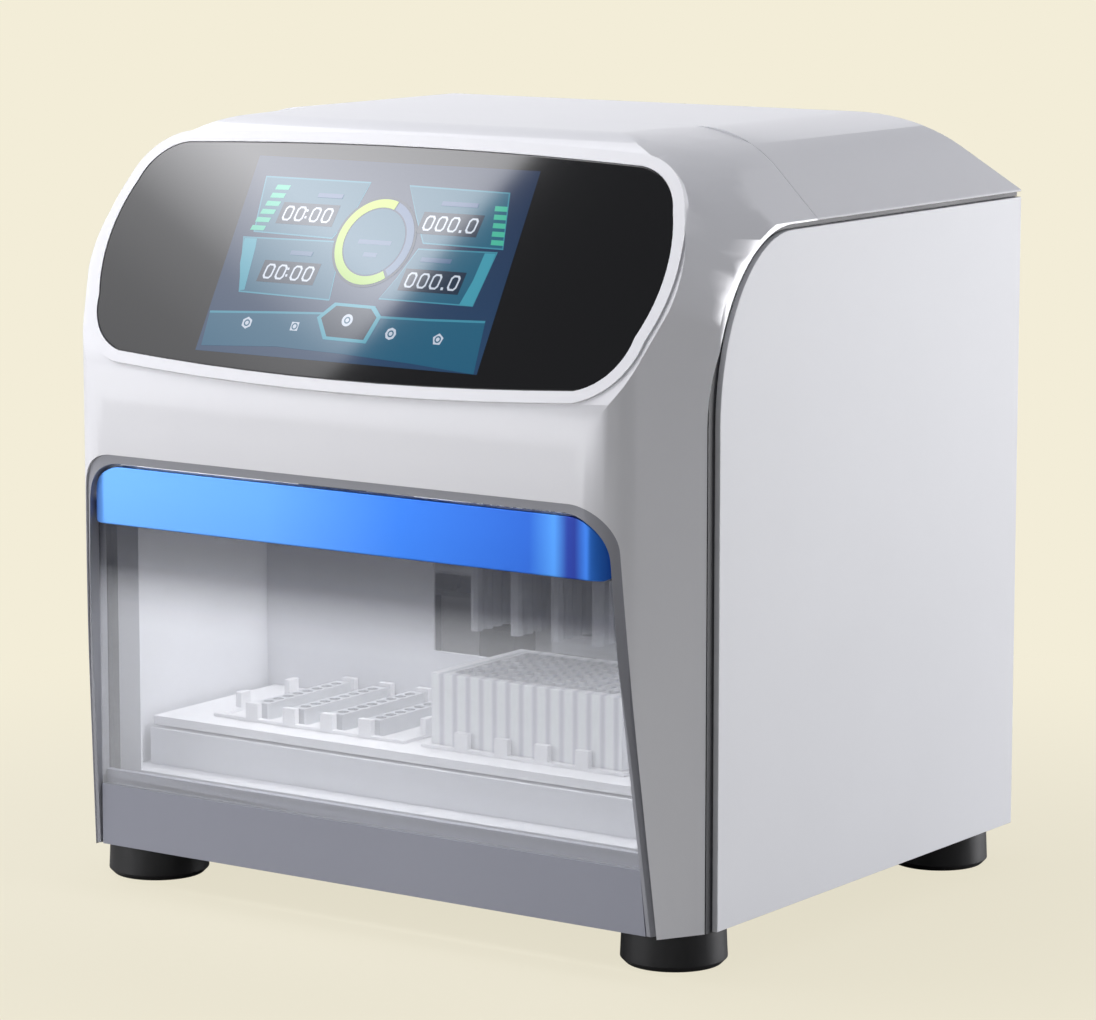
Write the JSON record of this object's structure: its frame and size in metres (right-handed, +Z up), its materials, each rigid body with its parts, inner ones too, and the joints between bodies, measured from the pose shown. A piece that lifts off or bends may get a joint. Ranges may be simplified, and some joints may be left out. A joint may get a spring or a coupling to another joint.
{
  "type": "nucleic acid extractor",
  "caption": "Benchtop magnetic-rod nucleic acid extractor: tilted touch panel, drop-down clear door, heated plate nests and a gantry-borne rod head.",
  "frame": {"origin": "on the bench under the middle of the cabinet's outline", "axes": "+X to the operator's right, +Y to the back, +Z up; the front faces -Y"},
  "size_m": [0.42, 0.374, 0.437],
  "materials": {
    "shell_white": "satin",
    "panel_white": "satin",
    "frame_grey": "matt",
    "trim_black": "matt",
    "foot_rubber": "matt",
    "screen_glass": "gloss",
    "lcd": "satin",
    "liner_white": "satin",
    "deck_white": "satin",
    "nest_white": "satin",
    "aluminium": "brushed",
    "steel": "ground",
    "zinc": "plated",
    "pane_clear": "gloss",
    "rail_grey": "satin",
    "handle_blue": "satin anodised",
    "plate_clear": "satin",
    "comb_clear": "satin",
    "lamp_glass": "gloss",
    "socket_white": "matt",
    "motor_black": "satin",
    "board_green": "satin",
    "black_plastic": "satin",
    "guard_chrome": "bright"
  },
  "bodies": {
    "chassis": {"base_plate": "zinc", "feet": "foot_rubber", "foot_screws": "steel", "front_cover": "shell_white", "door_bezel": "rail_grey", "top_cover": "shell_white", "rear_panel": "panel_white", "side_frames": "frame_grey", "side_panel_left": "panel_white", "side_panel_right": "panel_white", "edge_trims": "trim_black", "display_glass": "screen_glass", "display_bracket": "black_plastic", "lcd_module": "lcd", "chamber_liner": "liner_white", "chamber_rear_wall": "liner_white", "deck_riser": "liner_white", "deck_plate": "deck_white", "heater_block_left": "aluminium", "heater_block_right": "aluminium", "plate_nest_left": "nest_white", "plate_nest_right": "nest_white", "uv_lamp": "lamp_glass", "uv_lamp_sockets": "socket_white", "door_hinge_brackets": "zinc", "door_catches": "zinc", "gantry_beams": "aluminium", "x_rails": "steel", "x_screw_bearings": "aluminium", "x_motor": "motor_black", "main_board": "board_green", "power_supply": "zinc", "power_inlet": "black_plastic", "power_switch_frame": "black_plastic", "usb_port": "zinc", "fan_frame": "black_plastic", "fan_guard": "guard_chrome"},
    "door": {"door_window": "pane_clear", "door_rail": "rail_grey", "door_handle": "handle_blue", "door_hinge_pins": "steel", "door_magnets": "steel"},
    "x_screw": {"x_lead_screw": "steel"},
    "carriage": {"x_carriage": "aluminium", "x_bearings": "steel", "lift_shafts": "steel", "lift_motor": "motor_black"},
    "lift_screw": {"lift_lead_screw": "steel"},
    "lift": {"lift_frame": "aluminium", "comb_carrier": "aluminium", "tip_comb": "comb_clear", "magnet_shafts": "steel", "magnet_bridge": "aluminium", "magnet_motor": "motor_black"},
    "rod_screw": {"magnet_lead_screw": "steel"},
    "rods": {"magnet_plate": "aluminium", "magnet_rods": "steel"},
    "fan": {"fan_rotor": "black_plastic"},
    "switch": {"power_switch_rocker": "black_plastic"},
    "plate": {"deep_well_plate": "plate_clear"}
  },
  "joints": [
    {"name": "door_hinge", "type": "hinge", "parent": "chassis", "child": "door", "pos_m": [0, -0.15594, 0.028], "axis": [1, 0, 0], "range_deg": [0, 90]},
    {"name": "head_x", "type": "slide", "parent": "chassis", "child": "carriage", "axis": [1, 0, 0], "range_m": [-0.148, 0]},
    {"name": "x_screw_turn", "type": "hinge", "parent": "chassis", "child": "x_screw", "pos_m": [0, 0.054, 0.25], "axis": [1, 0, 0], "range_deg": [0, 5460]},
    {"name": "lift_z", "type": "slide", "parent": "carriage", "child": "lift", "axis": [0, 0, 1], "range_m": [-0.045, 0]},
    {"name": "lift_screw_turn", "type": "hinge", "parent": "carriage", "child": "lift_screw", "pos_m": [0.0645, 0.021, 0.25], "axis": [0, 0, 1], "range_deg": [0, 2160]},
    {"name": "rods_z", "type": "slide", "parent": "lift", "child": "rods", "axis": [0, 0, 1], "range_m": [0, 0.055]},
    {"name": "rod_screw_turn", "type": "hinge", "parent": "lift", "child": "rod_screw", "pos_m": [0.0645, -0.05525, 0.27], "axis": [0, 0, 1], "range_deg": [-2700, 0]},
    {"name": "plate_lift", "type": "slide", "parent": "chassis", "child": "plate", "axis": [0, 0, 1], "range_m": [0, 0.02]},
    {"name": "fan_spin", "type": "hinge", "parent": "chassis", "child": "fan", "pos_m": [0.095, 0.17, 0.3], "axis": [0, 1, 0], "continuous": true},
    {"name": "switch_rock", "type": "hinge", "parent": "chassis", "child": "switch", "pos_m": [-0.09, 0.1805, 0.092], "axis": [1, 0, 0], "range_deg": [0, 16]}
  ],
  "couplings": [
    {"joint": "x_screw_turn", "follows": "head_x", "rad_per_m": -628.32},
    {"joint": "lift_screw_turn", "follows": "lift_z", "rad_per_m": -785.4},
    {"joint": "rod_screw_turn", "follows": "rods_z", "rad_per_m": -785.4}
  ]
}
